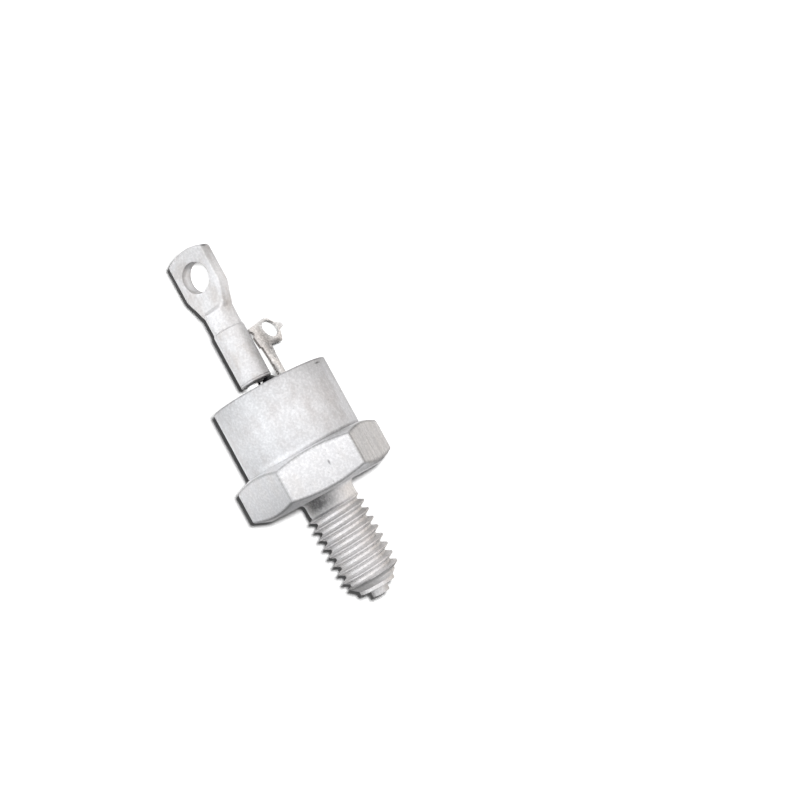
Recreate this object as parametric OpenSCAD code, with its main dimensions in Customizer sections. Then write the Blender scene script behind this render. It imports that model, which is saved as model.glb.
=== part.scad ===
// Stud-mounted silicon controlled rectifier, lying on one flat of its hex.
// The device axis runs along X: the stud points to -X and the terminals point to +X.
// The origin is the centre of the mounting seat under the hex.

/* [Hex base] */
// Width of the hex across its flats
hex_af = 14; // [13.6:0.1:16]
// Height of the hex from the seat to the foot of the can
hex_h = 4.7; // [4:0.1:6.5]
// Diameter of the flat seat under the hex
seat_d = 12.7; // [9:0.1:13.2]
// Slope of the chamfers that round off the corners of the hex
chamfer_angle = 23; // [15:1:35]
// Height of the step that centres the can
step_h = 0.6; // [0.3:0.1:1.2]

/* [Stud] */
// Thread diameter of the stud
stud_d = 6; // [5.6:0.1:6.4]
// Length of the stud from the seat to its end face
stud_l = 11; // [8:0.1:16]
// Diameter of the plain neck under the seat
neck_d = 5.4; // [4.4:0.1:5.6]
// Length of the neck
neck_l = 1.5; // [1:0.1:2.3]
// Radius of the fillet between the neck and the seat
neck_fillet = 0.55; // [0.5:0.05:0.9]
// Diameter of the plain end of the stud
tip_d = 3.9; // [3:0.1:5]
// Length of the cone between the thread and the plain end
tip_l = 0.95; // [0.5:0.05:1.6]
// Length of the plain end
tip_land = 0.4; // [0.2:0.05:0.8]
// Diameter of the turning nub on the end face
nub_d = 1.9; // [1:0.1:2.8]
// Length of the nub
nub_l = 0.8; // [0.2:0.05:1.2]

/* [Can] */
// Outer diameter of the can
can_d = 12.7; // [11.6:0.1:13]
// Height of the can above the hex
can_h = 7.55; // [7:0.05:9]
// Wall of the can
can_wall = 0.7; // [0.5:0.05:1]
// Thickness of the top of the can
can_top_t = 0.8; // [0.5:0.05:1.2]
// Ledge of the hex base around the foot of the can
can_ledge = 0.15; // [0.05:0.05:0.25]

/* [Header] */
// Diameter of the opening in the top of the can
header_d = 8.4; // [7.6:0.1:9]
// Wall of the header ring
header_wall = 0.8; // [0.5:0.1:1]
// Height of the header ring
header_h = 2.2; // [1.8:0.1:2.8]
// Width of the flange under the top of the can
flange_w = 0.6; // [0.3:0.1:0.8]
// Thickness of the flange
flange_t = 0.4; // [0.2:0.05:0.6]
// Thickness of the glass
glass_h = 1.7; // [1.2:0.1:2.2]
// How far the rim of the glass lies below the top of the can
glass_recess = 0.1; // [0.05:0.05:0.3]
// Diameter of the foot of the glass bead that rises between the leads
bead_foot_d = 3; // [2.6:0.1:3.2]
// Diameter of the top of the bead
bead_top_d = 1; // [0.6:0.05:1.2]
// Distance of the bead from the device axis, on the side of the gate
bead_offset = 0.25; // [0.15:0.05:0.4]
// How far the bead stands above the middle of the device
bead_rise = 0.6; // [0.5:0.05:0.8]
// Gap between the top of the bead and the foot of the lug
bead_gap = 0.05; // [0.03:0.01:0.3]

/* [Cathode terminal] */
// Distance of the lug from the device axis
cathode_offset = 0.9; // [0.6:0.05:1.1]
// How far the post stands off the middle of the lug, away from the gate
post_shift = 0.4; // [0:0.05:0.4]
// Outer diameter of the post
post_d = 1.5; // [1.3:0.05:1.6]
// Wall of the post
post_wall = 0.3; // [0.2:0.05:0.3]
// How far the post reaches below the glass
post_foot = 0.6; // [0.3:0.1:1.2]
// Outer diameter of the barrel of the lug
barrel_d = 3.4; // [3.2:0.05:3.6]
// Wall of the barrel
barrel_wall = 0.45; // [0.3:0.05:0.5]
// Chamfer on the foot of the barrel
barrel_lip = 0.15; // [0.05:0.05:0.2]
// Gap between the top of the can and the barrel
barrel_gap = 0.95; // [0.95:0.05:1.6]
// Length of the round barrel
barrel_l = 6.15; // [4:0.05:8]
// Width of the six-sided crimp across its flats
crimp_af = 3.1; // [2.9:0.05:3.15]
// Length of the crimp
crimp_l = 2.1; // [1.5:0.05:3]
// Metal between the top of the post and the top of the crimp
crimp_cap = 0.3; // [0.2:0.05:0.5]
// Length of the steep shoulder between the crimp and the flat part
shoulder_l = 0.65; // [0.5:0.05:1.5]
// Width of the flat part where it leaves the shoulder
press_w = 3.5; // [3.4:0.05:4.2]
// Length over which the flat part widens
press_l = 1.9; // [1.2:0.1:3]
// Width of the paddle
paddle_w = 4.9; // [4.6:0.1:6]
// Thickness of the paddle
paddle_t = 1.5; // [0.8:0.1:1.8]
// Length of the paddle at its full width
paddle_l = 4.7; // [4.7:0.1:7]
// Radius of the arc at the end of the paddle
paddle_end_r = 5.5; // [4.5:0.1:9]
// Diameter of the hole in the paddle
cathode_hole_d = 3.3; // [2.8:0.1:3.6]
// Distance of the hole from the end of the paddle
cathode_hole_inset = 3.1; // [2.4:0.1:3.1]
// Turn of the paddle about the device axis
paddle_turn = 40; // [20:1:50]

/* [Gate terminal] */
// Distance between the lug and the gate pin across the device
lead_spacing = 2.75; // [2.7:0.05:3]
// How far the gate pin lies below the lug
gate_drop = 1.1; // [1.05:0.05:1.4]
// Diameter of the gate pin
gate_pin_d = 1; // [0.7:0.05:1.1]
// How far the gate pin reaches below the glass
gate_foot = 0.8; // [0.4:0.1:1.4]
// Height above the can where the pin begins to flatten
coin_start = 1.75; // [1.3:0.05:2.1]
// Thickness of the coined flag
flag_t = 0.4; // [0.3:0.05:0.6]
// Height above the can where the flag bends back from its stem
bend_h = 4.2; // [3.7:0.05:4.7]
// How far the flag leans back from the bend
flag_lean = 10; // [2:1:15]
// Reach of the flag on the side of the lug
flag_back = 0.95; // [0.7:0.05:1]
// Reach of the stem on the side of the eye, at the bend
stem_reach = 0.7; // [0.6:0.05:1]
// Height of the eye above the bend
eye_rise = 1.5; // [1.4:0.05:2]
// Height of the top corner of the flag above the eye
flag_top = 1.35; // [1.2:0.05:1.6]
// Distance of the eye from the pin
eye_reach = 1.95; // [1.8:0.05:2.2]
// Diameter of the hole in the eye
gate_hole_d = 2; // [1.6:0.05:2.1]
// Least metal around the hole in the eye
eye_rim = 0.2; // [0.16:0.02:0.3]
// How far the nose of the eye stands out from the hole
eye_point = 0.85; // [0.6:0.05:1.1]
// Width of the blunt end of the nose
nose_w = 0.4; // [0.3:0.05:0.6]
// Diameter of the wire notch in the back edge of the flag
notch_d = 0.7; // [0.4:0.05:0.9]
// Turn of the flag about the device axis, away from the lug
flag_turn = 40; // [20:1:50]

/* [Inside] */
// Diameter of the lower disc
lower_disc_d = 8; // [7.2:0.1:9]
// Thickness of the lower disc
lower_disc_t = 0.8; // [0.4:0.1:1.2]
// Thickness of the solder layers
solder_t = 0.1; // [0.05:0.01:0.2]
// Diameter of the pellet
pellet_d = 7; // [6.6:0.1:7.2]
// Thickness of the pellet
pellet_t = 0.35; // [0.2:0.05:0.6]
// Diameter of the contact disc on the cathode side
cathode_disc_d = 5.4; // [4.6:0.1:5.6]
// Thickness of the contact disc
cathode_disc_t = 0.5; // [0.3:0.1:0.8]
// Width of the silicone coat outside the edge of the pellet
coat_w = 0.3; // [0.2:0.05:0.3]
// Height of the silicone coat above the pellet
coat_h = 0.12; // [0.05:0.01:0.3]
// How far the coat laps over the pellet
coat_lap = 0.4; // [0.2:0.05:0.45]
// Diameter of the cathode lead
cathode_lead_d = 0.8; // [0.5:0.05:0.85]
// Diameter of the gate lead
gate_lead_d = 0.4; // [0.2:0.05:0.6]
// Clearance between the contact disc and the gate lead
gate_clear = 0.6; // [0.3:0.1:0.8]

/* [Fits] */
// Radial gap at fused and soldered joints
joint_gap = 0.01; // [0.005:0.005:0.03]

/* [Hidden] */
$fn = 96;

// Overlap of cutters past the faces that they cut
over = 1;
// Short land that the shoulder of the lug starts from
shoulder_land = 0.15;
// Depth at which the cone of the bead starts inside the glass
bead_root = 0.1;
// Facets of the faceted shoulder
shoulder_fn = 32;

hex_corner_r = hex_af / 2 / cos(30);
land_r = can_d / 2 + can_ledge;
bottom_rise = (hex_corner_r + over - seat_d / 2) * tan(chamfer_angle);
top_drop = (hex_corner_r + over - land_r) * tan(chamfer_angle);

can_id = can_d - 2 * can_wall;
can_top_z = hex_h + can_h;
step_d = can_id - 2 * joint_gap;
step_z = hex_h + step_h;

header_id = header_d - 2 * header_wall;
glass_top_z = can_top_z - glass_recess;
glass_foot_z = glass_top_z - glass_h;

barrel_z = can_top_z + barrel_gap;
crimp_z = barrel_z + barrel_l;
shoulder_z = crimp_z + crimp_l;
flat_z = shoulder_z + shoulder_l;
paddle_z = flat_z + press_l;
paddle_end_z = paddle_z + paddle_l;
post_end_z = shoulder_z - crimp_cap;
post_z = glass_foot_z - post_foot;

gate_y = cathode_offset - lead_spacing;
gate_z = glass_foot_z - gate_foot;
coin_z = can_top_z + coin_start;
bend_z = can_top_z + bend_h;
bend_lap = flag_t / 2;
eye_apothem = gate_hole_d / 2 + eye_rim;
eye_corner = eye_apothem * tan(22.5);

solder_z = step_z;
lower_disc_z = solder_z + solder_t;
pellet_z = lower_disc_z + lower_disc_t;
pellet_top_z = pellet_z + pellet_t;
cathode_disc_z = pellet_top_z + solder_t;
cathode_lead_z = cathode_disc_z + cathode_disc_t;

// Lays the upright device along X, with the X axis of the upright frame pointing down
module lay() {
    rotate([0, 90, 0]) children();
}

// Moves a piece to the axis of the lug
module at_lug() {
    translate([0, cathode_offset, 0]) children();
}

// Moves a piece to the axis of the cathode post
module at_post() {
    translate([0, cathode_offset + post_shift, 0]) children();
}

// Moves a piece to the axis of the gate pin
module at_gate() {
    translate([gate_drop, gate_y, 0]) children();
}

// A tube with its foot at height z
module tube(d, wall, z, h) {
    translate([0, 0, z]) difference() {
        cylinder(d = d, h = h);
        translate([0, 0, -over]) cylinder(d = d - 2 * wall, h = h + 2 * over);
    }
}

// Half section of the stud, from the nub to the step inside the can
module stud_section() {
    polygon([
        [0, step_z],
        [neck_d / 2, step_z],
        [neck_d / 2, -neck_l],
        [stud_d / 2, -neck_l - (stud_d - neck_d) / 2],
        [stud_d / 2, -stud_l + tip_land + tip_l],
        [tip_d / 2, -stud_l + tip_land],
        [tip_d / 2, -stud_l],
        [nub_d / 2, -stud_l],
        [nub_d / 2, -stud_l - nub_l],
        [0, -stud_l - nub_l]
    ]);
    difference() {
        translate([0, -neck_fillet]) square([neck_d / 2 + neck_fillet, neck_fillet]);
        translate([neck_d / 2 + neck_fillet, -neck_fillet]) circle(r = neck_fillet);
    }
}

// Half section that the hex is turned to, with a chamfer above and below
module hex_section() {
    polygon([
        [0, 0],
        [seat_d / 2, 0],
        [hex_corner_r + over, bottom_rise],
        [hex_corner_r + over, hex_h - top_drop],
        [land_r, hex_h],
        [0, hex_h]
    ]);
}

module stud_base() {
    color("gainsboro") lay() {
        rotate_extrude() stud_section();
        intersection() {
            rotate([0, 0, 30]) cylinder(r = hex_corner_r, h = hex_h, $fn = 6);
            rotate_extrude() hex_section();
        }
        translate([0, 0, hex_h / 2]) cylinder(d = step_d, h = hex_h / 2 + step_h);
    }
}

module case_can() {
    color("lightgray") lay() difference() {
        translate([0, 0, hex_h]) cylinder(d = can_d, h = can_h);
        translate([0, 0, hex_h - over]) cylinder(d = can_id, h = can_h - can_top_t + over);
        translate([0, 0, hex_h]) cylinder(d = header_d, h = can_h + over);
    }
}

module header_ring() {
    ring_d = header_d - 2 * joint_gap;
    ring_wall = (ring_d - header_id) / 2;
    color("silver") lay() {
        tube(ring_d, ring_wall, can_top_z - header_h, header_h);
        tube(ring_d + 2 * flange_w, ring_wall + flange_w, can_top_z - can_top_t - flange_t, flange_t);
    }
}

module glass_seal() {
    bead_h = barrel_z - bead_gap - glass_top_z;
    hole_h = glass_h + bead_h + 2 * over;
    color("#1c1a1c") lay() difference() {
        union() {
            translate([0, 0, glass_foot_z]) cylinder(d = header_id - 2 * joint_gap, h = glass_h);
            translate([-bead_rise, -bead_offset, glass_top_z - bead_root])
                cylinder(d1 = bead_foot_d, d2 = bead_top_d, h = bead_h + bead_root);
        }
        at_post() translate([0, 0, glass_foot_z - over]) cylinder(d = post_d + 2 * joint_gap, h = hole_h);
        at_gate() translate([0, 0, glass_foot_z - over]) cylinder(d = gate_pin_d + 2 * joint_gap, h = hole_h);
    }
}

module cathode_post() {
    color("silver") lay() at_post() tube(post_d, post_wall, post_z, post_end_z - post_z);
}

// The tube of the lug before it is bored and pierced, its paddle facing along X
module lug_blank() {
    translate([0, 0, barrel_z]) cylinder(d1 = barrel_d - 2 * barrel_lip, d2 = barrel_d, h = barrel_lip);
    translate([0, 0, barrel_z + barrel_lip]) cylinder(d = barrel_d, h = barrel_l - barrel_lip);
    intersection() {
        translate([0, 0, barrel_z]) cylinder(d = barrel_d, h = flat_z - barrel_z);
        rotate([0, 0, paddle_turn]) translate([0, 0, crimp_z - crimp_l / 2])
            cylinder(r = crimp_af / 2 / cos(30), h = crimp_l * 1.5 + shoulder_land / 2, $fn = 6);
    }
    hull() {
        translate([0, 0, shoulder_z]) cylinder(d = barrel_d, h = shoulder_land, $fn = shoulder_fn);
        translate([-paddle_t / 2, -press_w / 2, flat_z - shoulder_land])
            cube([paddle_t, press_w, shoulder_land]);
    }
    intersection() {
        translate([-paddle_t / 2, 0, 0]) rotate([90, 0, 90]) linear_extrude(paddle_t) polygon([
            [-press_w / 2, flat_z - shoulder_land],
            [press_w / 2, flat_z - shoulder_land],
            [press_w / 2, flat_z],
            [paddle_w / 2, paddle_z],
            [paddle_w / 2, paddle_end_z],
            [-paddle_w / 2, paddle_end_z],
            [-paddle_w / 2, paddle_z],
            [-press_w / 2, flat_z]
        ]);
        translate([-paddle_t, 0, paddle_end_z - paddle_end_r]) rotate([0, 90, 0])
            cylinder(r = paddle_end_r, h = 2 * paddle_t);
    }
}

module cathode_lug() {
    color("gainsboro") lay() difference() {
        at_lug() rotate([0, 0, 180 - paddle_turn]) difference() {
            lug_blank();
            translate([0, 0, barrel_z - over]) cylinder(d = barrel_d - 2 * barrel_wall, h = barrel_l + over);
            translate([-paddle_t, 0, paddle_end_z - cathode_hole_inset]) rotate([0, 90, 0])
                cylinder(d = cathode_hole_d, h = 2 * paddle_t);
        }
        at_post() translate([0, 0, barrel_z]) cylinder(d = post_d + 2 * joint_gap, h = post_end_z - barrel_z);
    }
}

// Outline of the flattened stem, across and up from the pin's axis
module stem_outline() {
    coin_half = sqrt(pow(gate_pin_d, 2) - pow(flag_t, 2)) * 0.45;
    polygon([
        [-coin_half, coin_z - flag_t],
        [coin_half, coin_z - flag_t],
        [stem_reach, bend_z + bend_lap],
        [bend_lap - flag_back, bend_z + bend_lap]
    ]);
}

// Outline of the flag, across from the pin's axis and up from the bend
module flag_outline() {
    difference() {
        union() {
            polygon([
                [-flag_back, -bend_lap],
                [eye_reach + eye_corner, -bend_lap],
                [eye_reach + eye_apothem, eye_rise - eye_corner],
                [eye_reach, eye_rise + flag_top],
                [-flag_back, eye_rise + flag_top / 2]
            ]);
            translate([eye_reach, eye_rise]) rotate(22.5) circle(r = eye_apothem / cos(22.5), $fn = 8);
            translate([eye_reach, eye_rise]) polygon([
                [0, eye_corner],
                [0, -eye_corner],
                [eye_apothem, -eye_corner],
                [gate_hole_d / 2 + eye_point, -nose_w / 2],
                [gate_hole_d / 2 + eye_point, nose_w / 2],
                [eye_apothem, eye_corner]
            ]);
        }
        translate([eye_reach, eye_rise]) circle(d = gate_hole_d);
        translate([-flag_back, eye_rise]) circle(d = notch_d);
    }
}

// A plate of the flag's thickness, standing on an outline that is drawn across and up
module plate() {
    translate([-flag_t / 2, 0, 0]) rotate([90, 0, 90]) linear_extrude(flag_t) children();
}

module gate_terminal() {
    color("gainsboro") lay() at_gate() {
        translate([0, 0, gate_z]) cylinder(d = gate_pin_d, h = coin_z - gate_z);
        translate([0, 0, coin_z]) cylinder(d1 = gate_pin_d, d2 = flag_t / 2, h = 1.5 * gate_pin_d);
        rotate([0, 0, 180 + flag_turn]) {
            plate() stem_outline();
            translate([0, 0, bend_z]) rotate([0, -flag_lean, 0]) plate() flag_outline();
        }
    }
}

module base_solder() {
    color("darkgray") lay() translate([0, 0, solder_z]) cylinder(d = lower_disc_d, h = solder_t);
}

module lower_disc() {
    color("slategray") lay() translate([0, 0, lower_disc_z]) cylinder(d = lower_disc_d, h = lower_disc_t);
}

module silicon_pellet() {
    color("dimgray") lay() translate([0, 0, pellet_z]) cylinder(d = pellet_d, h = pellet_t);
}

module junction_coat() {
    inner_r = pellet_d / 2 + joint_gap;
    outer_r = pellet_d / 2 + coat_w;
    lap_r = pellet_d / 2 - coat_lap;
    color("white") lay() rotate_extrude() polygon([
        [inner_r, pellet_z],
        [outer_r, pellet_z],
        [inner_r, pellet_top_z + coat_h],
        [lap_r, pellet_top_z + coat_h / 2],
        [lap_r, pellet_top_z],
        [inner_r, pellet_top_z]
    ]);
}

// A disc on the pellet, cut away on the side of the gate lead
module gate_cut_disc(z, h) {
    cut_y = gate_y + gate_lead_d / 2 + gate_clear;
    translate([0, 0, z]) difference() {
        cylinder(d = cathode_disc_d, h = h);
        translate([-cathode_disc_d / 2, cut_y - cathode_disc_d, -over])
            cube([cathode_disc_d, cathode_disc_d, h + 2 * over]);
    }
}

module cathode_solder() {
    color("darkgray") lay() gate_cut_disc(pellet_top_z, solder_t);
}

module cathode_disc() {
    color("slategray") lay() gate_cut_disc(cathode_disc_z, cathode_disc_t);
}

module cathode_lead() {
    color("peru") lay() at_post() translate([0, 0, cathode_lead_z])
        cylinder(d = cathode_lead_d, h = post_end_z - cathode_lead_z);
}

module gate_lead() {
    color("silver") lay() at_gate() translate([0, 0, pellet_top_z])
        cylinder(d = gate_lead_d, h = gate_z - pellet_top_z);
}

stud_base();
case_can();
header_ring();
glass_seal();
cathode_post();
cathode_lug();
gate_terminal();
base_solder();
lower_disc();
silicon_pellet();
junction_coat();
cathode_solder();
cathode_disc();
cathode_lead();
gate_lead();
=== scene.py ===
import math

import bmesh
import bpy
from mathutils import Matrix, Vector


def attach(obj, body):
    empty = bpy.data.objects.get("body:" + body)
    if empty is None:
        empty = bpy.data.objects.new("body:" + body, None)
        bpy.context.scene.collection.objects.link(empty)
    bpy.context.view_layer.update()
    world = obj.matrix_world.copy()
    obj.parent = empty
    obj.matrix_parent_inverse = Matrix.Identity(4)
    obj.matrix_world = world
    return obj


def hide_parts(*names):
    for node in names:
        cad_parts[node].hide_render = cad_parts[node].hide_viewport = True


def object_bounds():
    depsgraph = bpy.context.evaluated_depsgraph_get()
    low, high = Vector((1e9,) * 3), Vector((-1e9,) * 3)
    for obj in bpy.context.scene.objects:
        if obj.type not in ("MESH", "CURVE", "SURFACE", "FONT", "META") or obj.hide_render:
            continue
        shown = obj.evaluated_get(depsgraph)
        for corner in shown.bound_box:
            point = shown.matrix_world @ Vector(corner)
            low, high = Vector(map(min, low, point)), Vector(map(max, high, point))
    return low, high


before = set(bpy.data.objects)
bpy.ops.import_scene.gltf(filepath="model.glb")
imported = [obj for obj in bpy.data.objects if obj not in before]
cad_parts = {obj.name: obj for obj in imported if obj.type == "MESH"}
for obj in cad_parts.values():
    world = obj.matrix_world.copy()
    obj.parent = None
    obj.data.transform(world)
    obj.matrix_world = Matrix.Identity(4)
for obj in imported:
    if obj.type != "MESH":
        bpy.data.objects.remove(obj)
cad_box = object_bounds()

MM = 0.001
TAU = 2 * math.pi
HEX_SIDES = 6

# Sizes of the solids, in millimetres and radians; X is counted from the seat under the hex
HEX_APOTHEM = 7.0
HEX_CORNER = HEX_APOTHEM / math.cos(math.radians(180 / HEX_SIDES))
HEX_H = 4.7
SEAT_R = 6.35
LAND_R = 6.5
CHAMFER_SLOPE = math.tan(math.radians(23))
STEP_R = 5.64
STEP_X = 5.3
STUD_R = 3.0
STUD_L = 11.0
NECK_R = 2.7
NECK_L = 1.5
NECK_FILLET = 0.55
TIP_R = 1.95
TIP_L = 0.95
TIP_LAND = 0.4
TIP_LAND_X = -STUD_L + TIP_LAND
NUB_R = 0.95
NUB_L = 0.8
NUB_END_X = -STUD_L - NUB_L
CAN_R = 6.35
CAN_INNER_R = 5.65
CAN_TOP_X = 12.25
CAN_TOP_T = 0.8
HEADER_R = 4.2
LUG_Y = 0.9
POST_SHIFT = 0.4
BARREL_X = 13.2
BARREL_R = 1.7
BARREL_BORE_R = 1.25
CRIMP_X = 19.35
CRIMP_APOTHEM = 1.55
POST_BORE_R = 0.76
POST_END_X = 21.15
SHOULDER_X = 21.45
FLAT_X = 22.1
PRESS_HALF_W = 1.75
PADDLE_X = 24.0
PADDLE_END_X = 28.7
PADDLE_HALF_W = 2.45
PADDLE_HALF_T = 0.75
PADDLE_END_R = 5.5
LUG_HOLE_X = 25.6
LUG_HOLE_R = 1.65
PADDLE_TURN = math.radians(40)
GATE_Y = -1.85
GATE_Z = -1.1
GATE_PIN_R = 0.5
GATE_PIN_X = 9.65
COIN_X = 14.0
BEND_X = 16.45
FLAG_HALF_T = 0.2
FLAG_TURN = math.radians(-40)
FLAG_LEAN = math.radians(10)
EYE_W = 1.95
EYE_UP = 1.5
EYE_R = 1.0

# Thread; its crest and root end at these shares of the pitch from the middle of the crest
PITCH = 1.0
CREST_X = -2.8
THREAD_ROOT_R = 2.4
CREST_EDGE = 0.06
ROOT_EDGE = 0.375
RUNOUT = 0.6
NECK_END_X = -1.2
THREAD_TOP_X = -1.3
THREAD_GAP = 0.05
THREAD_END_X = TIP_LAND_X + THREAD_GAP

# Rounded edges, and the turned blank's spare stock outside the hex
BLANK_SPARE = 0.5
HEX_ROUND = 0.22
HEX_ROUND_STEPS = 3
RING_ROUND = 0.08
CAN_ROUND = 0.05
TIP_ROUND = 0.06
NUB_ROUND = 0.1
NUB_EASE = 0.03
PUNCH_ROUND = 0.07
FLAG_ROUND = 0.07
LUG_CORNER_R = 0.14

# Stations along the lug as (along, depth); on its shoulder as shares of the length and of the press
BORE_MOUTH = ((0.1, 0), (0.03, 0.03), (0, 0.1))
BARREL_FOOT = ((0, 0.18), (0.03, 0.125), (0.12, 0.035), (0.18, 0), (0.3, 0), (0.35, 0.05), (0.4, 0))
CRIMP_GROOVE = ((-0.12, 0), (-0.05, 0.06))
CRIMP_LIP = 0.02
CRIMP_LIP_SPARE = 0.1
CRIMP_FULL = 0.12
SHOULDER_EASE = 0.05
SHOULDER_STEPS = ((0.12, 0.05), (0.25, 0.18), (0.45, 0.42), (0.65, 0.68), (0.85, 0.92), (1, 1))
WIDENING_STEPS = 8
WIDENING_EASE = 0.25
PADDLE_ROWS = 22
END_ROUND_START = 0.55
END_ROUND_SPAN = 0.45

# Rounded end of the paddle, as (in from its faces, along), with a limit to how far its sides come in
END_EDGE = 0.25
END_STEPS = ((0.02, 0.1), (0.09, 0.19), (0.2, END_EDGE), (0.45, END_EDGE), (PADDLE_HALF_T, END_EDGE))
END_SIDE_INSET = 0.3

# Angles round the lug in degrees: its front, its corners, and a corner and a side of the crimp
LUG_FRONT_FROM = 150
LUG_FRONT_TO = 30
LUG_CORNER_TURNS = (30, 60, 90)
CRIMP_CORNER = 50
CRIMP_SIDE = 60

# How finely pieces are divided
ROWS_PER_PITCH = 16
TURN_STEPS = 144
ARC_STEPS = 8
LUG_FRONT_STEPS = 24
EYE_STEPS = 40
PIN_STEPS = 24

# How closely places agree, and what tells edges and faces apart
SLACK = 0.002
MERGE_SLACK = 0.0005
CUT_SLACK = 0.0001
CREASE_TURN = math.radians(32)
SHARP_TURN = 1.2
FACING_COSINE = 0.9


def smooth(t):
    """Eases from 0 to 1 as t goes from 0 to 1."""
    t = min(1.0, max(0.0, t))
    return t * t * (3 - 2 * t)


def new_verts(made):
    """Vertices that an operator made."""
    return [g for g in made["geom"] if isinstance(g, bmesh.types.BMVert)]


def radius_of(co):
    """Distance of a place from the device axis."""
    return math.hypot(co.y, co.z)


def lathe(bm, section):
    """Spins a half section of (x, radius) points once round the device axis."""
    verts = [bm.verts.new((x, 0, radius)) for x, radius in section]
    edges = [bm.edges.new(pair) for pair in zip(verts, verts[1:])]
    bmesh.ops.spin(
        bm, geom=verts + edges, cent=(0, 0, 0), axis=(1, 0, 0),
        angle=TAU, steps=TURN_STEPS, use_merge=True,
    )


def merge(bm):
    """Merges vertices that lie in one place."""
    bmesh.ops.remove_doubles(bm, verts=bm.verts, dist=MERGE_SLACK)


def soften(bm, edges, width, segments=2):
    """Rounds edges over by a small radius."""
    bmesh.ops.bevel(
        bm, geom=edges, offset=width, offset_type="OFFSET", segments=segments, profile=0.5,
        affect="EDGES", clamp_overlap=True, material=-1,
    )


def circle_edges(bm, x, radius):
    """Edges of the circle about the device axis at a place along it."""
    def on_circle(co):
        return abs(co.x - x) < SLACK and abs(radius_of(co) - radius) < SLACK

    return [e for e in bm.edges if all(on_circle(v.co) for v in e.verts)]


def rim_edges(bm, x):
    """Open edges of the mesh at a place along the device axis."""
    return [e for e in bm.edges if e.is_boundary and all(abs(v.co.x - x) < SLACK for v in e.verts)]


def cut(bm, point, normal, clear=True):
    """Cuts along a plane, clears what lies in front of it if asked, and returns the edges of the cut."""
    made = bmesh.ops.bisect_plane(
        bm, geom=bm.verts[:] + bm.edges[:] + bm.faces[:], dist=CUT_SLACK,
        plane_co=point, plane_no=normal, clear_outer=clear,
    )
    return [g for g in made["geom_cut"] if isinstance(g, bmesh.types.BMEdge)]


def arc(x, radius, size, start, end):
    """Points of an arc in a half section; its angles are in degrees from the device axis."""
    angles = [math.radians(start + (end - start) * i / ARC_STEPS) for i in range(ARC_STEPS + 1)]
    return [(x + size * math.cos(a), radius + size * math.sin(a)) for a in angles]


def finish_piece(bm, name, node, material):
    """Scales a mesh to metres and makes it the piece that stands for a CAD node."""
    merge(bm)
    bmesh.ops.recalc_face_normals(bm, faces=bm.faces)
    bmesh.ops.scale(bm, vec=(MM, MM, MM), verts=bm.verts)
    for face in bm.faces:
        face.smooth = True
    for edge in bm.edges:
        edge.smooth = edge.calc_face_angle(0) < CREASE_TURN
    mesh = bpy.data.meshes.new(name)
    bm.to_mesh(mesh)
    bm.free()
    mesh.materials.append(material)
    piece = bpy.data.objects.new(name, mesh)
    bpy.context.scene.collection.objects.link(piece)
    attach(piece, "root")
    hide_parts(node)


# Threaded stud and hex base
def hex_normals():
    """Directions of the six flats."""
    angles = [math.radians(360 / HEX_SIDES * i) for i in range(HEX_SIDES)]
    return [Vector((0, math.sin(a), math.cos(a))) for a in angles]


def cut_hex(bm):
    """Mills the six flats on the turned blank."""
    for normal in hex_normals():
        edges = cut(bm, normal * HEX_APOTHEM, normal)
        bmesh.ops.edgeloop_fill(bm, edges=edges)


def hex_edges(bm):
    """Edges round the six flats."""
    normals = hex_normals()

    def on_flat(edge, normal):
        return all(abs(v.co.dot(normal) - HEX_APOTHEM) < SLACK for v in edge.verts)

    return [e for e in bm.edges if any(on_flat(e, normal) for normal in normals)]


def add_hex_blank(bm):
    """Turns the neck, the hex and the can's step as one blank and mills the flats."""
    blank_r = HEX_CORNER + BLANK_SPARE
    section = [
        (NECK_END_X, NECK_R),
        *arc(-NECK_FILLET, NECK_R + NECK_FILLET, NECK_FILLET, -90, 0),
        (0, SEAT_R),
        ((blank_r - SEAT_R) * CHAMFER_SLOPE, blank_r),
        (HEX_H - (blank_r - LAND_R) * CHAMFER_SLOPE, blank_r),
        (HEX_H, LAND_R),
        (HEX_H, STEP_R),
        (STEP_X, STEP_R),
        (STEP_X, 0),
    ]
    lathe(bm, section)
    merge(bm)
    cut_hex(bm)
    soften(bm, hex_edges(bm), HEX_ROUND, HEX_ROUND_STEPS)
    soften(bm, circle_edges(bm, 0, SEAT_R), RING_ROUND)
    soften(bm, circle_edges(bm, HEX_H, LAND_R), RING_ROUND)


def thread_radius(x, turn):
    """Radius of the stud at a place along the axis and an angle about it."""
    from_crest = abs(((x - CREST_X) / PITCH - turn / TAU + 0.5) % 1 - 0.5)
    height = min(1.0, max(0.0, (ROOT_EDGE - from_crest) / (ROOT_EDGE - CREST_EDGE)))
    threaded = THREAD_ROOT_R + (STUD_R - THREAD_ROOT_R) * height
    share = smooth((-NECK_L - x) / RUNOUT)
    cone = TIP_R + (x + STUD_L - TIP_LAND) * (STUD_R - TIP_R) / TIP_L
    return min(NECK_R + (threaded - NECK_R) * share, cone)


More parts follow.
